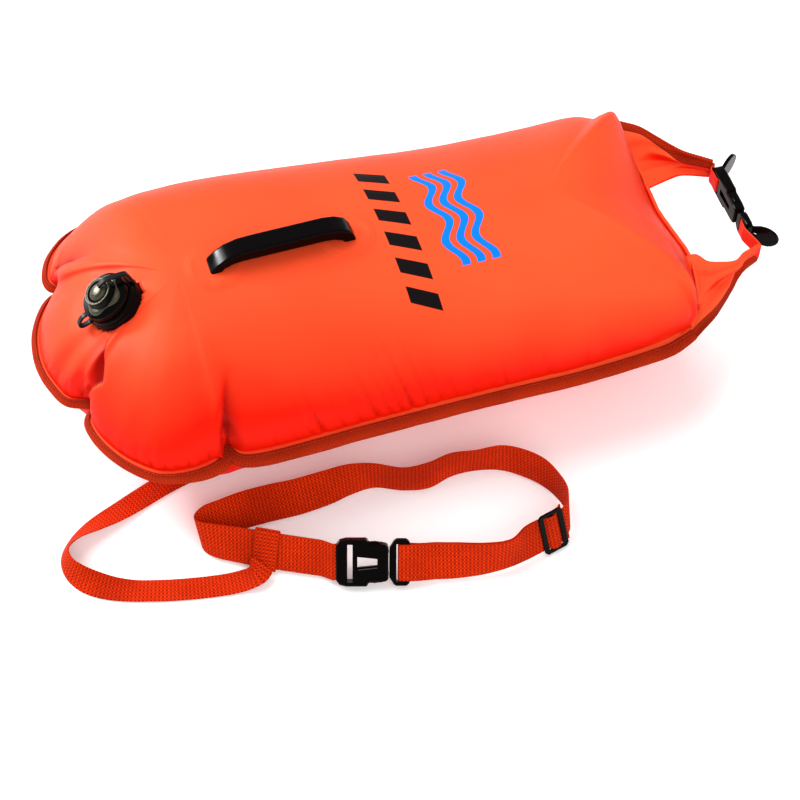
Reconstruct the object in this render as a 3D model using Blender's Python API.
# Open water swim buoy: an inflated dry bag with a screw valve, a carry grip and a rolled mouth
# closed by a buckle, and a leash to an adjustable waist belt. Metres, +Z up, +X towards the mouth.
import math

import bmesh
import bpy
from mathutils import Matrix, Vector
from mathutils.bvhtree import BVHTree

# Clearances and counts used everywhere
gap = 0.0003
overrun = 0.004
merge_share = 0.03
round_sides = 40
route_steps = 3

# Bag, inflated
bag_half_length = 0.330
bag_half_width = 0.166
seam_height = 0.095
crest_rise = 0.098
keel_drop = 0.101
crest_start_share = -0.53
crest_end_share = 0.65
panel_thickness = 0.0007
seam_clear = 0.0004
ring_angles = [0, 14, 30, 47, 63, 78]
side_fullness_share = 1.0
valve_end_fullness_share = 1.55
mouth_fullness_share = 1.6
seam_outline_shares = [
    (0.994, -0.904), (0.933, -0.952), (0.848, -0.988), (0.606, -1.012), (0.364, -1.000),
    (0.136, -0.994), (-0.091, -0.994), (-0.273, -1.000), (-0.409, -1.000), (-0.485, -0.970),
    (-0.521, -0.873), (-0.558, -0.964), (-0.636, -0.988), (-0.727, -0.940), (-0.794, -0.825),
    (-0.842, -0.681), (-0.870, -0.536), (-0.870, -0.428), (-0.812, -0.337), (-0.879, -0.271),
    (-0.924, -0.223), (-0.948, -0.114), (-0.964, 0.006), (-0.967, 0.139), (-0.955, 0.295),
    (-0.927, 0.428), (-0.885, 0.536), (-0.818, 0.602), (-0.870, 0.687), (-0.867, 0.795),
    (-0.836, 0.916), (-0.776, 1.024), (-0.685, 1.088), (-0.610, 1.082), (-0.564, 1.048),
    (-0.509, 1.096), (-0.394, 1.106), (-0.182, 1.084), (0.061, 1.048), (0.333, 1.015),
    (0.606, 1.000), (0.848, 0.976), (0.964, 0.928), (1.030, 0.843),
]

# Mouth: where the panels end, the band rolled over them and the two gathered ears
fold_half_height = 0.024
fold_line_shares = [
    (1.052, 0.711), (1.053, 0.482), (1.052, 0.301), (1.045, 0.120), (1.039, -0.048),
    (1.045, -0.223), (1.055, -0.410), (1.048, -0.554), (1.033, -0.675), (1.015, -0.795),
]
fold_rise_shares = [0.5, 1.0, 1.0, 1.0, 1.0, 1.0, 1.0, 1.0, 0.9, 0.5]
roll_height = 0.046
roll_lift = 0.004
roll_thickness = 0.0055
stiffener_thickness = 0.0015
stiffener_height_share = 0.5
ear_depth = 0.088
ear_thickness = 0.003
far_ear_low_shares = [
    (0.068, 0.331, -0.413), (0.210, 0.337, -0.391), (0.347, 0.349, -0.370),
    (0.506, 0.361, -0.348), (0.665, 0.367, -0.326), (0.835, 0.331, -0.283),
    (1.006, 0.277, -0.239),
]
far_ear_high_shares = [
    (0.068, 0.789, 0.457), (0.210, 0.753, 0.413), (0.369, 0.693, 0.370),
    (0.528, 0.560, 0.348), (0.676, 0.428, 0.348), (0.847, 0.343, 0.326),
    (1.006, 0.277, 0.304),
]
near_ear_low_shares = [
    (-0.076, -0.895, -0.239), (0.085, -0.831, -0.283), (0.257, -0.741, -0.348),
    (0.472, -0.620, -0.391), (0.619, -0.536, -0.370), (0.801, -0.464, -0.326),
    (0.972, -0.428, -0.283),
]
near_ear_high_shares = [
    (0.090, -0.476, 0.543), (0.218, -0.524, 0.435), (0.371, -0.542, 0.391),
    (0.574, -0.536, 0.326), (0.733, -0.476, 0.304), (0.869, -0.452, 0.283),
    (0.972, -0.428, 0.261),
]

# Inner dry compartment, lying flat inside the air chamber
pouch_height = 0.004
pouch_wall = 0.0006
pouch_inset = 0.0028
pouch_margin = 0.002

# Seam flange
flange_width = 0.011
flange_thickness = 0.003
flange_droop = 0.004
flange_clear = 0.0008

# Parts and cuts that both side-release buckles share, as shares of length and half width
socket_outline_shares = [
    (0.0, 0.72), (0.05, 0.93), (0.14, 1.0), (0.42, 1.0), (0.445, 0.82), (0.61, 0.82),
    (0.68, 0.77), (0.71, 0.69),
]
tongue_outline_shares = [
    (0.720, 0.62), (0.79, 0.97), (0.83, 1.0), (0.955, 1.0), (1.0, 0.86),
]
prong_outline_shares = [
    (0.715, 0.57), (0.64, 0.60), (0.605, 0.65), (0.595, 0.86), (0.53, 0.89), (0.45, 0.875),
    (0.42, 0.80), (0.34, 0.68), (0.28, 0.52), (0.29, 0.40), (0.41, 0.50), (0.55, 0.45),
    (0.715, 0.38),
]
window_outline_shares = [(0.29, 0.29), (0.56, 0.20), (0.56, -0.20), (0.29, -0.29)]
buckle_wall_share = 0.09
mouth_width_share = 0.77
socket_slot_shares = (0.155, 0.225)
tongue_slot_shares = (0.815, 0.885)
cavity_start_share = 0.25
side_window_shares = (0.435, 0.61)
mouth_end_share = 0.71
cavity_height_share = 0.5
tongue_thickness_share = 0.62
bar_thickness_share = 0.30
strap_recess_share = 0.11
buckle_edge_share = 0.11
prong_edge_share = 0.15

# Roll-top buckle
roll_buckle_length = 0.094
roll_buckle_width = 0.029
roll_buckle_thickness = 0.012
roll_buckle_heading = math.radians(-3)
roll_buckle_x_share = 1.014
roll_buckle_y_share = -0.036
finger_tab_length = 0.034
finger_tab_width = 0.026
finger_tab_thickness = 0.004
finger_tab_root = 0.003
finger_tab_angle = math.radians(50)
finger_tab_hole_radius = 0.0025
finger_tab_hole_share = 0.24
finger_tab_shares = [
    (0.0, 0.62), (0.16, 0.72), (0.34, 0.94), (0.52, 1.0), (0.70, 0.93), (0.85, 0.72),
    (0.95, 0.42), (1.0, 0.12),
]
sewn_strip_width = 0.020
sewn_strip_thickness = 0.0012
sewn_strip_run = 0.002
sewn_strip_bend = 0.0014
far_strip_lead = 0.0052
near_strip_lead = 0.0250

# Waist belt buckle
belt_buckle_length = 0.073
belt_buckle_width = 0.048
belt_buckle_thickness = 0.011
belt_buckle_start = (-0.097, -0.274)
belt_buckle_heading = math.radians(-18)
belt_buckle_lean = math.radians(38)

# Webbing
belt_width = 0.038
leash_width = 0.025
webbing_thickness = 0.0016
webbing_clear = 0.0004
layer_clear = 0.0005
straight_run = 0.003
# Bottom edge of the belt and the offset of its top edge, from the socket to the slider
belt_route = [
    (-0.112, -0.2625, 0.007, 0.022), (-0.138, -0.2490, 0.008, 0.022), (-0.162, -0.2360, 0.008, 0.022),
    (-0.186, -0.2220, 0.007, 0.021), (-0.204, -0.2105, 0.004, 0.019),
    (-0.213, -0.2010, -0.001, 0.016), (-0.214, -0.1920, -0.003, 0.015),
    (-0.206, -0.1875, 0.0, 0.020), (-0.190, -0.1870, 0.001, 0.024),
    (-0.165, -0.1855, 0.0, 0.027), (-0.138, -0.1855, 0.0, 0.027), (-0.110, -0.1865, 0.0, 0.025),
    (-0.078, -0.1840, 0.0, 0.021), (-0.052, -0.1790, 0.0, 0.013), (-0.028, -0.1785, 0.0, 0.004),
    (-0.002, -0.1905, 0.0, 0.002), (0.024, -0.1960, 0.0, 0.006), (0.050, -0.1895, 0.0, 0.003),
    (0.076, -0.1900, 0.0, -0.001), (0.102, -0.1980, 0.0, 0.005), (0.123, -0.2145, 0.0, 0.010),
    (0.137, -0.2320, 0.001, 0.011), (0.145, -0.2510, 0.0, 0.009), (0.147, -0.2690, 0.0, 0.009),
    (0.143, -0.2850, -0.001, 0.012), (0.1385, -0.2915, 0.0, 0.014),
]
# The doubled run, from the slider to the tongue's bar
front_route = [
    (0.104, -0.3035, 0.003, 0.017), (0.088, -0.3070, 0.003, 0.0165), (0.068, -0.3095, 0.003, 0.007),
    (0.042, -0.3095, 0.003, 0.012), (0.014, -0.3055, 0.005, 0.0200),
    (-0.0055, -0.3005, 0.006, 0.0225),
]
wrap_turns = 6
wrap_run = 0.010
wrap_ease_share = 0.6
belt_end_length = 0.004
belt_end_splay = 0.003
# Centre line of the leash, from its patch to its loop, and the tilt of the webbing about it
leash_route = [
    (-0.165, -0.0915), (-0.196, -0.0975), (-0.228, -0.1050), (-0.256, -0.1145),
    (-0.284, -0.1255), (-0.311, -0.1360), (-0.333, -0.1480), (-0.347, -0.1630),
    (-0.3475, -0.1805), (-0.336, -0.1970), (-0.315, -0.2105), (-0.289, -0.2210),
    (-0.259, -0.2300), (-0.229, -0.2368), (-0.202, -0.2415), (-0.184, -0.2435),
    (-0.1748, -0.2440),
]
leash_tilt_angles = [5, 0, 0, 0, 8, 25, 50, 66, 62, 40, 14, 0, 0, 0, 0, 0, 0]
leash_straight_run = 0.012
leash_drop = 0.0015
leash_loop_place = (-0.162, -0.2375)
leash_loop_bend = 0.0024
leash_loop_turns = 4
leash_patch_place = (-0.118, -0.083)
leash_patch_length = 0.034
leash_patch_width = 0.028
leash_patch_thickness = 0.0016

# Slider on the belt
slider_width = 0.046
slider_outer_bar = 0.0055
slider_middle_bar = 0.0045
slider_slot = 0.0062
slider_thickness = 0.0024
slider_corner = 0.003
slider_ease = 0.00055

# Valve, along its own axis from the surface of the bag
valve_place_share = -0.7318
valve_lift = 0.0031
valve_lean = math.radians(-6.05)
valve_base_radius = 0.029
valve_base_top = 0.009
valve_base_edge = 0.0054
valve_base_bottom = -0.010
valve_bore_radius = 0.021
valve_run = 0.0004
unit_body_radius = 0.0255
unit_body_bottom = 0.0106
unit_body_top = 0.017
lobe_radius = 0.0245
lobe_depth = 0.0028
lobe_count = 4
lobe_plate_top = 0.021
collar_radius = 0.0165
collar_top = 0.027
plug_bore_radius = 0.0122
plug_foot = 0.015
plug_dome = 0.0035
plug_dome_shares = [(0.9, 0.0), (1.0, 1.0)]
plug_top_shares = [(1.0, -0.5), (0.8, 0.35), (0.45, 0.85), (0.0, 1.0)]
flap_thickness = 0.001
flap_step = 0.002
seal_radius = 0.0235
tether_width = 0.005
tether_thickness = 0.0016
tether_rest = 0.0028
plug_tether_heading = math.radians(8)
unit_tether_heading = math.radians(188)
unit_tether_reach = 0.012

# Grip
grip_start = -0.146
grip_length = 0.153
grip_width = 0.022
grip_rise = 0.023
grip_inner_share = 0.40
grip_edge = 0.0026
grip_outer_shares = [
    (0.0, 0.0), (0.015, 0.2), (0.06, 0.5), (0.13, 0.8), (0.22, 0.97), (0.33, 1.0),
    (0.80, 1.0), (0.88, 0.92), (0.95, 0.68), (0.985, 0.3), (1.0, 0.0),
]
grip_inner_shares = [
    (0.92, 0.0), (0.895, 0.5), (0.84, 0.9), (0.78, 1.0), (0.23, 1.0), (0.165, 0.9),
    (0.105, 0.5), (0.08, 0.0),
]
grip_foot_shares = (0.045, 0.955)
grip_patch_length = 0.034
grip_patch_width = 0.034
patch_thickness = 0.001

orange = (1.0, 0.13, 0.025)
deep_orange = (0.78, 0.055, 0.015)
binding_red = (0.42, 0.035, 0.015)
black = (0.012, 0.012, 0.013)

# Heights that several pieces share
mouth_x = fold_line_shares[1][0] * bag_half_length
mouth_height = seam_height + roll_lift
belt_lift = webbing_thickness + leash_loop_bend


def clear_scene():
    for thing in list(bpy.data.objects):
        bpy.data.objects.remove(thing, do_unlink=True)


def make_material(name, colour, roughness):
    material = bpy.data.materials.new(name)
    material.use_nodes = True
    shader = material.node_tree.nodes["Principled BSDF"]
    shader.inputs["Base Color"].default_value = (*colour, 1.0)
    shader.inputs["Roughness"].default_value = roughness
    shader.inputs["Metallic"].default_value = 0.0
    return material


# Tools for making solids

def add_object(name, bm, material, parent=None, smooth=True):
    bmesh.ops.recalc_face_normals(bm, faces=bm.faces[:])
    mesh = bpy.data.meshes.new(name)
    bm.to_mesh(mesh)
    bm.free()
    mesh.materials.append(material)
    for polygon in mesh.polygons:
        polygon.use_smooth = smooth
    thing = bpy.data.objects.new(name, mesh)
    bpy.context.collection.objects.link(thing)
    thing.parent = parent
    return thing


def add_frame(name, matrix):
    frame = bpy.data.objects.new(name, None)
    frame.matrix_world = matrix
    bpy.context.collection.objects.link(frame)
    return frame


def add_boolean(target, tool, operation):
    boolean = target.modifiers.new(operation.lower() + "_" + tool.name, "BOOLEAN")
    boolean.operation = operation
    boolean.object = tool
    tool.hide_render = True
    tool.display_type = "WIRE"


def cut(target, cutter):
    add_boolean(target, cutter, "DIFFERENCE")


def join(target, addition):
    add_boolean(target, addition, "UNION")


def add_bevel(target, width, angle=math.radians(40)):
    bevel = target.modifiers.new("edge_rounding", "BEVEL")
    bevel.width = width
    bevel.segments = 1
    bevel.limit_method = "ANGLE"
    bevel.angle_limit = angle


def smooth_route(points, steps=route_steps):
    # A Catmull-Rom curve through the points, each a tuple of any length
    route = []
    last = len(points) - 1
    for index in range(last):
        before = points[max(index - 1, 0)]
        start = points[index]
        end = points[index + 1]
        after = points[min(index + 2, last)]
        for step in range(steps):
            t = step / steps
            route.append(tuple(
                0.5 * (2 * b + (c - a) * t + (2 * a - 5 * b + 4 * c - d) * t * t
                       + (3 * b - a - 3 * c + d) * t ** 3)
                for a, b, c, d in zip(before, start, end, after)
            ))
    route.append(tuple(points[last]))
    return route


def mesh_band(name, sections, material, closed=False, parent=None):
    # Skins a row of sections, each a ring of points, and caps the two ends
    bm = bmesh.new()
    rows = [[bm.verts.new(point) for point in section] for section in sections]
    count = len(rows[0])
    pairs = list(zip(rows, rows[1:]))
    if closed:
        pairs.append((rows[-1], rows[0]))
    for first, second in pairs:
        for index in range(count):
            following = (index + 1) % count
            bm.faces.new((first[index], first[following], second[following], second[index]))
    if not closed:
        bm.faces.new(rows[0][::-1])
        bm.faces.new(rows[-1])
    return add_object(name, bm, material, parent)


def rail_normals(low_rail, high_rail, closed=False):
    normals = []
    last = len(low_rail) - 1
    for index in range(last + 1):
        behind = index - 1 if closed else max(index - 1, 0)
        ahead = (index + 1) % (last + 1) if closed else min(index + 1, last)
        along = (low_rail[ahead] + high_rail[ahead]) - (low_rail[behind] + high_rail[behind])
        normals.append(along.cross(high_rail[index] - low_rail[index]).normalized())
    return normals


def band_sections(low_rail, high_rail, thickness, closed=False):
    sections = []
    for low, high, normal in zip(low_rail, high_rail, rail_normals(low_rail, high_rail, closed)):
        half = normal * thickness / 2
        sections.append([low - half, low + half, high + half, high - half])
    return sections


def strap(name, low_rail, high_rail, thickness, material, closed=False, parent=None):
    sections = band_sections(low_rail, high_rail, thickness, closed)
    return mesh_band(name, sections, material, closed, parent)


def prism(name, outline, low, high, material, parent=None):
    bm = bmesh.new()
    face = bm.faces.new([bm.verts.new((x, y, low)) for x, y in outline])
    grown = bmesh.ops.extrude_face_region(bm, geom=[face])
    top = [item for item in grown["geom"] if isinstance(item, bmesh.types.BMVert)]
    bmesh.ops.translate(bm, verts=top, vec=(0, 0, high - low))
    return add_object(name, bm, material, parent, smooth=False)


def revolve(name, profile, material, parent=None):
    bm = bmesh.new()
    points = [bm.verts.new((radius, 0, height)) for radius, height in profile]
    edges = [bm.edges.new(pair) for pair in zip(points, points[1:] + points[:1])]
    bmesh.ops.spin(
        bm, geom=points + edges, axis=(0, 0, 1), cent=(0, 0, 0), angle=math.tau,
        steps=round_sides, use_merge=True,
    )
    bmesh.ops.remove_doubles(bm, verts=bm.verts[:], dist=gap * merge_share)
    return add_object(name, bm, material, parent)


def circle(radius):
    turns = [math.tau * index / round_sides for index in range(round_sides)]
    return [(radius * math.cos(turn), radius * math.sin(turn)) for turn in turns]


def rectangle(start, end, half):
    return [(start, half), (end, half), (end, -half), (start, -half)]


def mirrored(outline):
    return outline + [(x, -y) for x, y in reversed(outline)]


def scaled(outline, length, half_width):
    return [(x * length, y * half_width) for x, y in outline]


# Bag

def seam_points():
    return scaled(seam_outline_shares, bag_half_length, bag_half_width)


def fold_points():
    return scaled(fold_line_shares, bag_half_length, bag_half_width)


def bag_point(place, edge_rise, angle, rise, fullness):
    # A point of the inflated skin, on the way from the seam up to the bag's centre line
    crest_x = min(max(place[0], crest_start_share * bag_half_length),
                  crest_end_share * bag_half_length)
    reach = math.cos(angle)
    lift = math.sin(angle) ** fullness
    x = crest_x + (place[0] - crest_x) * reach
    y = place[1] * reach
    return x, y, edge_rise + (rise - edge_rise) * lift


def side_fullness(place):
    # The valve's end slopes more than the sides do
    beyond = crest_start_share - place[0] / bag_half_length
    along = min(max(beyond / (1 + crest_start_share), 0.0), 1.0)
    return side_fullness_share + (valve_end_fullness_share - side_fullness_share) * along


def panel_rings(rise):
    # rise is positive for the upper panel and negative for the lower one
    sign = math.copysign(1, rise)
    edge = [(place, 0.0, side_fullness(place)) for place in seam_points()]
    for place, share in zip(fold_points(), fold_rise_shares):
        edge.append((place, fold_half_height * share, mouth_fullness_share))
    rings = []
    for degrees in ring_angles:
        ring = []
        for place, lift, fullness in edge:
            x, y, z = bag_point(place, lift + seam_clear, math.radians(degrees), abs(rise),
                                fullness)
            ring.append(Vector((x, y, max(seam_height + sign * z, 0.0))))
        rings.append(ring)
    return rings


def panel_mesh(rise):
    bm = bmesh.new()
    rows = [[bm.verts.new(point) for point in ring] for ring in panel_rings(rise)]
    count = len(rows[0])
    for first, second in zip(rows, rows[1:]):
        for index in range(count):
            following = (index + 1) % count
            bm.faces.new((first[index], first[following], second[following], second[index]))
    bm.faces.new(rows[-1])
    bmesh.ops.triangulate(bm, faces=bm.faces[:])
    bmesh.ops.recalc_face_normals(bm, faces=bm.faces[:])
    if sum(face.normal.z * face.calc_area() for face in bm.faces) * rise < 0:
        bmesh.ops.reverse_faces(bm, faces=bm.faces[:])
    return bm


def skin_hit(rise, x, y):
    # Where a plumb line meets the panel, and the panel's outward normal there
    bm = panel_mesh(rise)
    skin = BVHTree.FromBMesh(bm)
    bm.free()
    plumb = Vector((0, 0, -math.copysign(1, rise)))
    place, normal = skin.ray_cast(Vector((x, y, seam_height)) - plumb * bag_half_width, plumb)[:2]
    return place, normal if normal.z * rise > 0 else -normal


def make_panel(name, rise, material):
    bm = panel_mesh(rise)
    mesh = bpy.data.meshes.new(name)
    bm.to_mesh(mesh)
    bm.free()
    mesh.materials.append(material)
    panel = bpy.data.objects.new(name, mesh)
    bpy.context.collection.objects.link(panel)
    solidify = panel.modifiers.new("fabric", "SOLIDIFY")
    solidify.thickness = panel_thickness
    solidify.offset = -1
    solidify.use_even_offset = False
    return panel


def outward_offset(points, index, distance):
    before = Vector(points[max(index - 1, 0)])
    after = Vector(points[min(index + 1, len(points) - 1)])
    along = (after - before).normalized()
    return Vector(points[index]) + Vector((-along.y, along.x)) * distance


def make_seam_binding(material):
    seam = seam_points()
    inner_rail = []
    outer_rail = []
    for index in range(len(seam)):
        inner = outward_offset(seam, index, flange_clear)
        outer = outward_offset(seam, index, flange_clear + flange_width)
        inner_rail.append(Vector((inner.x, inner.y, seam_height)))
        outer_rail.append(Vector((outer.x, outer.y, seam_height - flange_droop)))
    return strap("seam_binding", inner_rail, outer_rail, flange_thickness, material)


def pouch_outline(inset):
    seam = seam_points()
    sides = [outward_offset(seam, index, -inset) for index in range(len(seam))]
    mouth = [Vector(place) - Vector((inset, 0)) for place in fold_points()]
    return [tuple(place) for place in sides], [tuple(place) for place in mouth]


def make_dry_compartment(material):
    sides, mouth = pouch_outline(pouch_inset)
    low = seam_height - pouch_height / 2
    high = seam_height + pouch_height / 2
    pouch = prism("dry_compartment", sides + mouth, low, high, material)
    hollow_sides, hollow_mouth = pouch_outline(pouch_inset + pouch_margin)
    hollow_mouth = [(x + overrun + pouch_margin, y) for x, y in hollow_mouth[1:-1]]
    hollow = prism("pouch_hollow", hollow_sides + hollow_mouth, low + pouch_wall,
                   high - pouch_wall, material)
    cut(pouch, hollow)


# Rolled mouth

def roll_rails(height_share):
    clearance = roll_thickness / 2 + gap
    rails = ([], [])
    for (x, y), share in zip(fold_points(), fold_rise_shares):
        half = roll_height / 2 * share * height_share
        for rail, side in zip(rails, (-1, 1)):
            rail.append(Vector((x + clearance, y, mouth_height + side * half)))
    return rails


def make_mouth_roll(material):
    outer = band_sections(*roll_rails(1.0), roll_thickness)
    inner = band_sections(*roll_rails(stiffener_height_share), stiffener_thickness)
    bm = bmesh.new()
    rings = []
    for section, core in zip(outer, inner):
        centre = sum(core, Vector()) / len(core)
        hollow = [point + (point - centre).normalized() * 2 * gap for point in core]
        rings.append([bm.verts.new(point) for point in section + hollow])
    half = len(outer[0])
    for first, second in zip(rings, rings[1:]):
        for start in (0, half):
            for index in range(half):
                here = start + index
                following = start + (index + 1) % half
                bm.faces.new((first[here], first[following], second[following], second[here]))
    for ring in (rings[0], rings[-1]):
        for index in range(half):
            following = (index + 1) % half
            bm.faces.new((ring[index], ring[following], ring[following + half], ring[index + half]))
    add_object("mouth_roll", bm, material)


def make_mouth_stiffener(material):
    strap("mouth_stiffener", *roll_rails(stiffener_height_share), stiffener_thickness, material)


def ear_rails(low_shares, high_shares, end_y):
    # The ear's outer end keeps its distance from the buckle, whatever the bag's width
    end_share = (low_shares[-1][1] + high_shares[-1][1]) / 2
    shift = end_y - end_share * bag_half_width
    rails = []
    for shares in (low_shares, high_shares):
        places = [(mouth_x + x * ear_depth, y * bag_half_width + shift * max(x, 0.0),
                   mouth_height + z * roll_height) for x, y, z in shares]
        rails.append([Vector(place) for place in smooth_route(places, 2)])
    return rails


def make_ears(material):
    matrix = roll_buckle_matrix()
    far_end = matrix.translation.y + far_strip_lead
    near_end = (matrix @ Vector((roll_buckle_length, 0, 0))).y - near_strip_lead
    far_rails = ear_rails(far_ear_low_shares, far_ear_high_shares, far_end)
    strap("far_mouth_ear", *far_rails, ear_thickness, material)
    near_rails = ear_rails(near_ear_low_shares, near_ear_high_shares, near_end)
    strap("near_mouth_ear", *near_rails, ear_thickness, material)
    return far_rails, near_rails


# Side-release buckles, along +X from the socket's end to the tongue's end

def cut_through(target, name, outline, half_height, material, frame):
    cut(target, prism(name, outline, -half_height, half_height, material, frame))


def make_socket(prefix, frame, length, width, thickness, web_width, material):
    half = width / 2
    wall = buckle_wall_share * half
    slot_half = web_width / 2 + webbing_clear
    socket = prism(prefix + "_socket", mirrored(scaled(socket_outline_shares, length, half)),
                   -thickness / 2, thickness / 2, material, frame)
    add_bevel(socket, thickness * buckle_edge_share)
    window_start = side_window_shares[0] * length
    window_end = side_window_shares[1] * length
    mouth_half = mouth_width_share * half - wall
    cavity = mirrored([
        (cavity_start_share * length, half - wall), (window_start, half - wall),
        (window_start, half + overrun), (window_end, half + overrun), (window_end, mouth_half),
        (mouth_end_share * length + overrun, mouth_half - wall / 2),
    ])
    cut_through(socket, prefix + "_cavity", cavity, thickness * cavity_height_share / 2,
                material, frame)
    slot = rectangle(socket_slot_shares[0] * length, socket_slot_shares[1] * length, slot_half)
    cut_through(socket, prefix + "_socket_slot", slot, thickness, material, frame)
    window = scaled(window_outline_shares, length, half)
    cut_through(socket, prefix + "_window", window, thickness, material, frame)
    return socket


def cut_strap_recess(socket, frame, material):
    # The webbing's sewn end sits inside the socket's rear bar
    recess = rectangle(-overrun, strap_recess_share * belt_buckle_length, belt_width / 2 + webbing_clear)
    cut_through(socket, "strap_recess", recess, webbing_thickness / 2 + gap, material, frame)


def thin_bar(tongue, frame, material):
    # The webbing's turn lies flush round the tongue's bar
    half = belt_buckle_thickness * bar_thickness_share / 2
    outline = rectangle(tongue_slot_shares[0] * belt_buckle_length, belt_buckle_length + overrun,
                        belt_width / 2 + webbing_clear)
    for name, low, high in (("front_recess", half, belt_buckle_thickness),
                            ("back_recess", -belt_buckle_thickness, -half)):
        cut(tongue, prism(name, outline, low, high, material, frame))


def make_belt_buckle(plastic):
    frame = add_frame("belt_buckle_axis", belt_buckle_matrix())
    sizes = (belt_buckle_length, belt_buckle_width, belt_buckle_thickness)
    socket = make_socket("belt", frame, *sizes, belt_width, plastic)
    cut_strap_recess(socket, frame, plastic)
    tongue = make_tongue("belt", frame, *sizes, belt_width, plastic)
    thin_bar(tongue, frame, plastic)
    make_prongs("belt", frame, *sizes, plastic)


def make_tongue(prefix, frame, length, width, thickness, web_width, material):
    half = width / 2
    slot_half = web_width / 2 + webbing_clear
    tongue_half = thickness * tongue_thickness_share / 2
    tongue = prism(prefix + "_tongue", mirrored(scaled(tongue_outline_shares, length, half)),
                   -tongue_half, tongue_half, material, frame)
    add_bevel(tongue, thickness * buckle_edge_share)
    slot = rectangle(tongue_slot_shares[0] * length, tongue_slot_shares[1] * length, slot_half)
    cut_through(tongue, prefix + "_tongue_slot", slot, thickness, material, frame)
    return tongue


def make_prongs(prefix, frame, length, width, thickness, material):
    prong_half = thickness * cavity_height_share / 2 - gap
    for side, label in ((1, "upper"), (-1, "lower")):
        outline = [(x * length, side * y * width / 2) for x, y in prong_outline_shares]
        prong = prism(prefix + "_prong_" + label, outline, -prong_half, prong_half, material, frame)
        add_bevel(prong, prong_half * 2 * prong_edge_share)


def add_finger_tab(target, name, frame, at_end, half_thickness, material):
    # An oval plate that splays outwards from one end of the roll-top buckle
    bm = bmesh.new()
    outline = mirrored(scaled(finger_tab_shares, finger_tab_length, finger_tab_width / 2))
    face = bm.faces.new([bm.verts.new((x, y, 0)) for x, y in outline])
    grown = bmesh.ops.extrude_face_region(bm, geom=[face])
    top = [item for item in grown["geom"] if isinstance(item, bmesh.types.BMVert)]
    bmesh.ops.translate(bm, verts=top, vec=(0, 0, finger_tab_thickness))
    turn = Matrix.Rotation(-finger_tab_angle, 4, "Y")
    if not at_end:
        turn = Matrix.Rotation(math.pi, 4, "Z") @ turn
    end = roll_buckle_length - finger_tab_root if at_end else finger_tab_root
    drop = half_thickness - finger_tab_thickness
    place = Matrix.Translation((end, 0, drop)) @ turn
    bm.transform(place)
    tab = add_object(name, bm, material, frame, smooth=False)
    add_bevel(tab, finger_tab_thickness * buckle_edge_share)
    hole_x = finger_tab_hole_share * finger_tab_length
    outline = [(hole_x + x, y) for x, y in circle(finger_tab_hole_radius)]
    hole = prism(name + "_hole", outline, -overrun, finger_tab_thickness + overrun, material, frame)
    hole.matrix_local = place
    join(target, tab)
    cut(target, hole)


def roll_buckle_matrix():
    # The buckle lies along -Y across the closed loop, its width upright
    ahead = Vector((math.sin(roll_buckle_heading), -math.cos(roll_buckle_heading), 0))
    outward = Vector((math.cos(roll_buckle_heading), math.sin(roll_buckle_heading), 0))
    down = outward.cross(ahead)
    centre = Vector((mouth_x + roll_buckle_x_share * ear_depth,
                     roll_buckle_y_share * bag_half_width, mouth_height))
    start = centre - ahead * roll_buckle_length / 2
    matrix = Matrix((ahead, down, outward)).transposed().to_4x4()
    matrix.translation = start
    return matrix


def make_roll_buckle(plastic):
    frame = add_frame("roll_buckle_axis", roll_buckle_matrix())
    sizes = (roll_buckle_length, roll_buckle_width, roll_buckle_thickness)
    socket = make_socket("roll", frame, *sizes, sewn_strip_width, plastic)
    add_finger_tab(socket, "roll_socket_tab", frame, False, roll_buckle_thickness / 2, plastic)
    tongue = make_tongue("roll", frame, *sizes, sewn_strip_width, plastic)
    tongue_half = roll_buckle_thickness * tongue_thickness_share / 2
    add_finger_tab(tongue, "roll_tongue_tab", frame, True, tongue_half, plastic)
    make_prongs("roll", frame, *sizes, plastic)


def make_sewn_strip(name, ear, slot_shares, half_thickness, from_start, material):
    # A strip sewn to the ear's end, led along the buckle's inner face and down through its slot
    matrix = roll_buckle_matrix()
    upright = matrix.to_3x3() @ Vector((0, -1, 0))
    ear_middle = (ear[0][-1] + ear[1][-1]) / 2
    ear_along = (ear[0][-1] + ear[1][-1] - ear[0][-2] - ear[1][-2]).normalized()
    way = 1 if from_start else -1
    end = 0.0 if from_start else roll_buckle_length
    slot_middle = sum(slot_shares) / 2 * roll_buckle_length
    off = half_thickness + gap + sewn_strip_thickness / 2
    bend_start = slot_middle - way * sewn_strip_bend
    lead = [ear_middle + ear_along * (gap + sewn_strip_run), matrix @ Vector((end, 0, -off)),
            matrix @ Vector(((end + bend_start) / 2, 0, -off))]
    route = [ear_middle + ear_along * gap]
    route += [Vector(point) for point in smooth_route([tuple(point) for point in lead])]
    for index in range(route_steps + 1):
        turn = math.pi / 2 * index / route_steps
        route.append(matrix @ Vector((bend_start + way * sewn_strip_bend * math.sin(turn), 0,
                                      sewn_strip_bend * (1 - math.cos(turn)) - off)))
    route.append(matrix @ Vector((slot_middle, 0, half_thickness)))
    low_rail = [point - upright * sewn_strip_width / 2 for point in route]
    high_rail = [point + upright * sewn_strip_width / 2 for point in route]
    strap(name, low_rail, high_rail, sewn_strip_thickness, material)


# Valve

def valve_frame():
    # The valve sits on the skin's slope across its base, leaning back a little more than that
    valve_x = valve_place_share * bag_half_length
    low = skin_hit(crest_rise, valve_x - valve_base_radius, 0)[0]
    high = skin_hit(crest_rise, valve_x + valve_base_radius, 0)[0]
    slope = math.atan2(high.z - low.z, high.x - low.x)
    outward = Vector((-math.sin(slope), 0, math.cos(slope)))
    place = Matrix.Translation((low + high) / 2 + outward * valve_lift)
    return add_frame("valve_axis", place @ Matrix.Rotation(valve_lean - slope, 4, "Y"))


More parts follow.
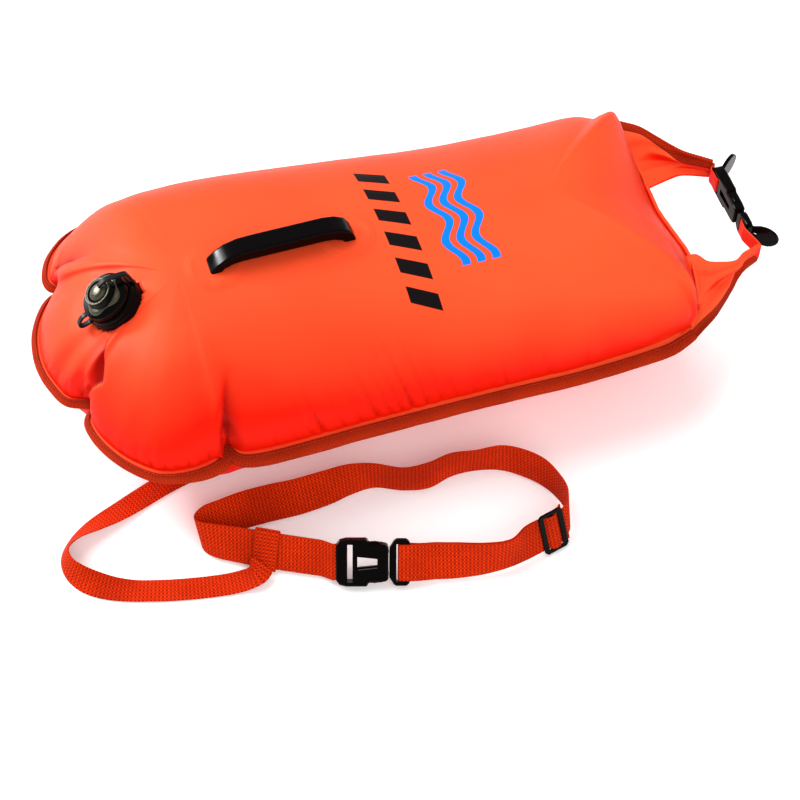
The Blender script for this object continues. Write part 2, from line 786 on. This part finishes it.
def make_valve_base(frame, plastic):
    revolve("valve_base", [
        (valve_bore_radius, valve_base_bottom), (valve_base_radius, valve_base_bottom),
        (valve_base_radius, valve_base_top - valve_base_edge),
        (valve_base_radius - valve_base_edge * buckle_edge_share * 2, valve_base_top),
        (valve_bore_radius, valve_base_top),
    ], plastic, frame)


def make_valve_unit(frame, plastic):
    spigot_radius = valve_bore_radius - valve_run
    low = valve_base_bottom + gap
    unit = revolve("valve_unit", [
        (plug_bore_radius - flap_step, low), (spigot_radius, low),
        (spigot_radius, unit_body_bottom), (unit_body_radius, unit_body_bottom),
        (unit_body_radius, unit_body_top), (collar_radius + lobe_depth, unit_body_top + lobe_depth),
        (collar_radius, lobe_plate_top), (collar_radius, collar_top - flap_thickness),
        (collar_radius - flap_thickness, collar_top), (plug_bore_radius, collar_top),
        (plug_bore_radius, low + flap_step), (plug_bore_radius - flap_step, low + flap_step),
    ], plastic, frame)
    join(unit, make_lobe_plate(frame, plastic))


def make_lobe_plate(frame, material):
    outline = []
    for x, y in circle(1.0):
        reach = lobe_radius - lobe_depth * math.cos(lobe_count * math.atan2(y, x))
        outline.append((x * reach, y * reach))
    low = unit_body_top - lobe_depth
    plate = prism("lobe_plate", outline, low, lobe_plate_top - lobe_depth / 2, material, frame)
    bore = prism("lobe_bore", circle(collar_radius - flap_thickness), valve_base_bottom,
                 collar_top + overrun, material, frame)
    cut(plate, bore)
    return plate


def make_valve_seal(frame, rubber):
    inner = valve_bore_radius + gap
    low = valve_base_top + gap
    high = unit_body_bottom - gap
    revolve("valve_seal", [(inner, low), (seal_radius, low), (seal_radius, high), (inner, high)],
            rubber, frame)


def make_valve_flap(frame, rubber):
    radius = plug_bore_radius - gap
    low = valve_base_bottom + flap_step + 2 * gap
    high = low + flap_thickness
    revolve("valve_flap", [(0.0, low), (radius, low), (radius, high), (0.0, high)], rubber, frame)


def make_valve_plug(frame, plastic):
    radius = plug_bore_radius - gap
    profile = [(0.0, plug_foot)]
    profile += [(x * radius, plug_foot + z * plug_dome) for x, z in plug_dome_shares]
    profile += [(x * radius, collar_top + z * plug_dome) for x, z in plug_top_shares]
    revolve("valve_plug", profile, plastic, frame)


def tether(name, frame, heading, route, material):
    # route holds the reach from the axis and the height of each point of the strap
    across = Vector((-math.sin(heading), math.cos(heading), 0)) * tether_width / 2
    low_rail = []
    high_rail = []
    for reach, height in smooth_route(route):
        centre = Vector((reach * math.cos(heading), reach * math.sin(heading), height))
        low_rail.append(centre - across)
        high_rail.append(centre + across)
    strap(name, low_rail, high_rail, tether_thickness, material, parent=frame)


def make_valve_tethers(frame, rubber):
    half = tether_thickness / 2
    top = collar_top + plug_dome + half + gap
    rim = valve_base_radius + half + gap
    tether("plug_tether", frame, plug_tether_heading, [
        (flap_step, top), (collar_radius, top), (rim + half, lobe_plate_top + half),
        (rim + tether_thickness, unit_body_top), (rim, valve_base_edge), (rim, tether_rest),
    ], rubber)
    start = unit_body_radius + half + gap
    under_plate = unit_body_top - lobe_depth - half - gap
    out = start + unit_tether_reach
    tether("unit_tether", frame, unit_tether_heading, [
        (start, under_plate), (start + unit_tether_reach / 3, under_plate + half),
        (out, unit_body_bottom), (out, valve_base_edge),
        (rim + tether_thickness, tether_rest), (rim, tether_rest),
    ], rubber)


# Carry grip

def crown_height():
    return seam_height + seam_clear + (crest_rise - seam_clear) * math.sin(math.radians(ring_angles[-1]))


def make_grip(plastic):
    foot = crown_height() + 2 * gap + patch_thickness
    outline = [(grip_start + x * grip_length, z * grip_rise) for x, z in grip_outer_shares]
    inner = grip_rise * grip_inner_share
    outline += [(grip_start + x * grip_length, z * inner) for x, z in grip_inner_shares]
    bm = bmesh.new()
    face = bm.faces.new([bm.verts.new((x, -grip_width / 2, foot + z)) for x, z in outline])
    grown = bmesh.ops.extrude_face_region(bm, geom=[face])
    back = [item for item in grown["geom"] if isinstance(item, bmesh.types.BMVert)]
    bmesh.ops.translate(bm, verts=back, vec=(0, grip_width, 0))
    grip = add_object("carry_grip", bm, plastic, smooth=False)
    add_bevel(grip, grip_edge)


def make_grip_patches(fabric):
    low = crown_height() + gap
    for name, share in zip(("grip_patch_front", "grip_patch_rear"), grip_foot_shares):
        centre_x = grip_start + share * grip_length
        outline = [(centre_x + x * grip_patch_length / 2, y * grip_patch_width / 2)
                   for x, y in circle(1.0)]
        prism(name, outline, low, low + patch_thickness, fabric)


# Belt

def belt_rails(route):
    low_rail = []
    high_rail = []
    for x, y, dx, dy in smooth_route(route):
        rise = math.sqrt(belt_width ** 2 - dx * dx - dy * dy)
        low_rail.append(Vector((x, y, belt_lift)))
        high_rail.append(Vector((x + dx, y + dy, belt_lift + rise)))
    return low_rail, high_rail


def shifted_rails(low_rail, high_rail, offset):
    normals = rail_normals(low_rail, high_rail)
    low = [point + normal * offset for point, normal in zip(low_rail, normals)]
    high = [point + normal * offset for point, normal in zip(high_rail, normals)]
    return low, high


def belt_buckle_matrix():
    lean = Matrix.Rotation(math.pi / 2 - belt_buckle_lean, 4, "X")
    heading = Matrix.Rotation(belt_buckle_heading, 4, "Z")
    # The leaning buckle rests on its lower edge
    edge_height = belt_buckle_width * math.cos(belt_buckle_lean)
    lift = (edge_height + belt_buckle_thickness * math.sin(belt_buckle_lean)) / 2
    shift = belt_width / 2 * math.sin(belt_buckle_lean)
    place = Matrix.Translation((belt_buckle_start[0], belt_buckle_start[1] + shift, lift))
    return place @ heading @ lean


def slider_places():
    # Lengths along the slider from its middle: its end, a slot's far edge and its near edge
    near = slider_middle_bar / 2
    far = near + slider_slot
    return far + slider_outer_bar, far, near


def layer_offset():
    return (webbing_thickness + layer_clear) / 2


def slider_face():
    return slider_thickness / 2 + gap + webbing_thickness / 2


def slider_matrix():
    # The slider sits at the start of the doubled run, in front of both layers
    low_rail, high_rail = belt_rails(front_route)
    along = (low_rail[0] - low_rail[1]).normalized()
    across = (high_rail[0] - low_rail[0]).normalized()
    outward = along.cross(across).normalized()
    end = slider_places()[0]
    middle = (low_rail[0] + high_rail[0]) / 2 + along * end
    matrix = Matrix((along, outward.cross(along), outward)).transposed().to_4x4()
    matrix.translation = middle + outward * (slider_face() + layer_offset())
    return matrix


def make_slider(plastic):
    end, far, near = slider_places()
    frame = add_frame("slider_axis", slider_matrix())
    half = slider_width / 2
    outline = mirrored([(-end, half - slider_corner), (-end + slider_corner, half),
                        (end - slider_corner, half), (end, half - slider_corner)])
    slider = prism("belt_slider", outline, -slider_thickness / 2, slider_thickness / 2,
                   plastic, frame)
    for name, low, high in (("slider_slot_left", -far, -near), ("slider_slot_right", near, far)):
        slot = rectangle(low, high, belt_width / 2 + webbing_clear)
        cut_through(slider, name, slot, slider_thickness, plastic, frame)


def local_rails(matrix, places):
    # Rails of the belt's width, through places given as lengths along and off a fitting
    low_rail = [matrix @ Vector((along, -belt_width / 2, off)) for along, off in places]
    high_rail = [matrix @ Vector((along, belt_width / 2, off)) for along, off in places]
    return low_rail, high_rail


def weave_places():
    # The main strap's way through the slider, from its far end over the middle bar
    end, far, near = slider_places()
    face = slider_face()
    return [(end, -face), (far - slider_ease, -face), (near + slider_ease, face),
            (-near - slider_ease, face), (-far + slider_ease, -face)]


def wrap_places():
    # The webbing's turn round the tongue's bar
    edge = tongue_slot_shares[1] * belt_buckle_length
    reach = belt_buckle_thickness * bar_thickness_share / 2 + gap + webbing_thickness / 2
    run = belt_buckle_length + wrap_run
    places = [(run, reach * wrap_ease_share), (belt_buckle_length, reach)]
    for index in range(wrap_turns + 1):
        turn = math.pi * (0.5 + index / wrap_turns)
        places.append((edge + reach * math.cos(turn), reach * math.sin(turn)))
    places += [(belt_buckle_length, -reach), (run, -reach * wrap_ease_share)]
    return places


def free_end_places():
    end = slider_places()[0]
    back = slider_face() + 2 * layer_offset()
    return [(0.0, -back - gap), (end, -back - belt_end_splay),
            (end + belt_end_length, -back - 2 * belt_end_splay)]


def make_strap_of_runs(name, runs, webbing):
    low_rail = [point for run in runs for point in run[0]]
    high_rail = [point for run in runs for point in run[1]]
    strap(name, low_rail, high_rail, webbing_thickness, webbing)


def make_belt_webbing(webbing):
    recess_end = strap_recess_share * belt_buckle_length - gap
    slider_end = slider_places()[0]
    make_strap_of_runs("belt_webbing", [
        local_rails(belt_buckle_matrix(), [(recess_end, 0.0), (-straight_run, 0.0)]),
        belt_rails(belt_route),
        local_rails(slider_matrix(), [(slider_end + straight_run, -slider_face()),
                                      (slider_end + gap, -slider_face())]),
    ], webbing)


def make_belt_front_run(webbing):
    middle = belt_rails(front_route)
    inner = shifted_rails(*middle, layer_offset())
    make_strap_of_runs("belt_front_run", [
        local_rails(slider_matrix(), weave_places()),
        shifted_rails(*middle, -layer_offset()),
        local_rails(belt_buckle_matrix(), wrap_places()),
        [rail[::-1] for rail in inner],
        local_rails(slider_matrix(), free_end_places()),
    ], webbing)


# Leash

def leash_patch_matrix():
    # The patch lies flat on the underside, its length towards the bag's closed end
    place, outward = skin_hit(-keel_drop, *leash_patch_place)
    across = outward.cross(Vector((-1, 0, 0))).normalized()
    matrix = Matrix((across.cross(outward), across, outward)).transposed().to_4x4()
    matrix.translation = place
    return matrix


def make_leash_patch(webbing):
    outline = rectangle(-leash_patch_length / 2, leash_patch_length / 2, leash_patch_width / 2)
    patch = prism("leash_patch", outline, gap, gap + leash_patch_thickness, webbing)
    patch.matrix_world = leash_patch_matrix()


def leash_rails():
    matrix = leash_patch_matrix()
    rest = webbing_thickness / 2 + gap
    patch_tilt = math.degrees(math.asin(-matrix.col[1].z))
    points = []
    for reach, drop in ((2 * gap, 0.0), (leash_straight_run, leash_drop)):
        place = matrix @ Vector((leash_patch_length / 2 + reach, 0,
                                 gap + leash_patch_thickness / 2 + drop))
        points.append((place.x, place.y, place.z - rest, patch_tilt))
    for (x, y), tilt in zip(leash_route, leash_tilt_angles):
        points.append((x, y, leash_width / 2 * math.sin(math.radians(tilt)), tilt))
    route = smooth_route(points)
    low_rail = []
    high_rail = []
    for index, (x, y, lift, tilt) in enumerate(route):
        behind = route[max(index - 1, 0)]
        ahead = route[min(index + 1, len(route) - 1)]
        along = Vector((ahead[0] - behind[0], ahead[1] - behind[1], 0)).normalized()
        if index == 0:
            along = matrix.col[0].to_3d()
        lean = math.radians(tilt)
        side = Vector((-along.y, along.x, 0)) * math.cos(lean) + Vector((0, 0, math.sin(lean)))
        floor = leash_width / 2 * abs(math.sin(lean))
        centre = Vector((x, y, rest + max(lift, floor)))
        low_rail.append(centre - side * leash_width / 2)
        high_rail.append(centre + side * leash_width / 2)
    return low_rail, high_rail


def make_leash(webbing):
    strap("leash", *leash_rails(), webbing_thickness, webbing)


def leash_loop_matrix():
    # The loop rides on the belt at the point nearest its place
    low_rail, high_rail = belt_rails(belt_route)
    place = Vector((*leash_loop_place, belt_lift))
    index = min(range(1, len(low_rail) - 1), key=lambda i: (low_rail[i] - place).length)
    along = (low_rail[index + 1] - low_rail[index - 1]).normalized()
    outward = along.cross(high_rail[index] - low_rail[index]).normalized()
    matrix = Matrix((along, outward.cross(along), outward)).transposed().to_4x4()
    matrix.translation = (low_rail[index] + high_rail[index]) / 2
    return matrix


def make_leash_loop(webbing):
    matrix = leash_loop_matrix()
    centre = belt_width / 2 - webbing_thickness / 2
    places = []
    for side in (1, -1):
        for index in range(leash_loop_turns + 1):
            turn = math.pi * (index / leash_loop_turns - (side - 1) / 2)
            places.append((side * centre + leash_loop_bend * math.sin(turn),
                           leash_loop_bend * math.cos(turn)))
    half = leash_width / 2
    low_rail = [matrix @ Vector((-half, across, off)) for across, off in places]
    high_rail = [matrix @ Vector((half, across, off)) for across, off in places]
    strap("leash_loop", low_rail, high_rail, webbing_thickness, webbing, closed=True)


def build():
    clear_scene()
    fabric = make_material("coated_fabric", orange, 0.35)
    liner = make_material("pouch_film", deep_orange, 0.5)
    binding = make_material("binding_tape", binding_red, 0.8)
    webbing = make_material("webbing", deep_orange, 0.75)
    plastic = make_material("black_plastic", black, 0.3)
    rubber = make_material("black_rubber", black, 0.6)

    upper = make_panel("upper_panel", crest_rise, fabric)
    make_panel("lower_panel", -keel_drop, fabric)
    make_seam_binding(binding)
    make_dry_compartment(liner)

    make_mouth_roll(fabric)
    make_mouth_stiffener(plastic)
    far_ear, near_ear = make_ears(fabric)
    make_roll_buckle(plastic)
    half = roll_buckle_thickness / 2
    make_sewn_strip("far_buckle_strip", far_ear, socket_slot_shares, half, True, fabric)
    make_sewn_strip("near_buckle_strip", near_ear, tongue_slot_shares, half * tongue_thickness_share,
                    False, fabric)

    axis = valve_frame()
    make_valve_base(axis, plastic)
    make_valve_unit(axis, plastic)
    make_valve_seal(axis, rubber)
    make_valve_flap(axis, rubber)
    make_valve_plug(axis, plastic)
    make_valve_tethers(axis, rubber)
    valve_hole = prism("valve_hole", circle(valve_base_radius + gap), valve_base_bottom - overrun,
                       valve_base_top + overrun, plastic, axis)
    cut(upper, valve_hole)

    make_grip(plastic)
    make_grip_patches(fabric)
    make_belt_buckle(plastic)
    make_slider(plastic)
    make_belt_webbing(webbing)
    make_belt_front_run(webbing)
    make_leash_patch(webbing)
    make_leash(webbing)
    make_leash_loop(webbing)


build()
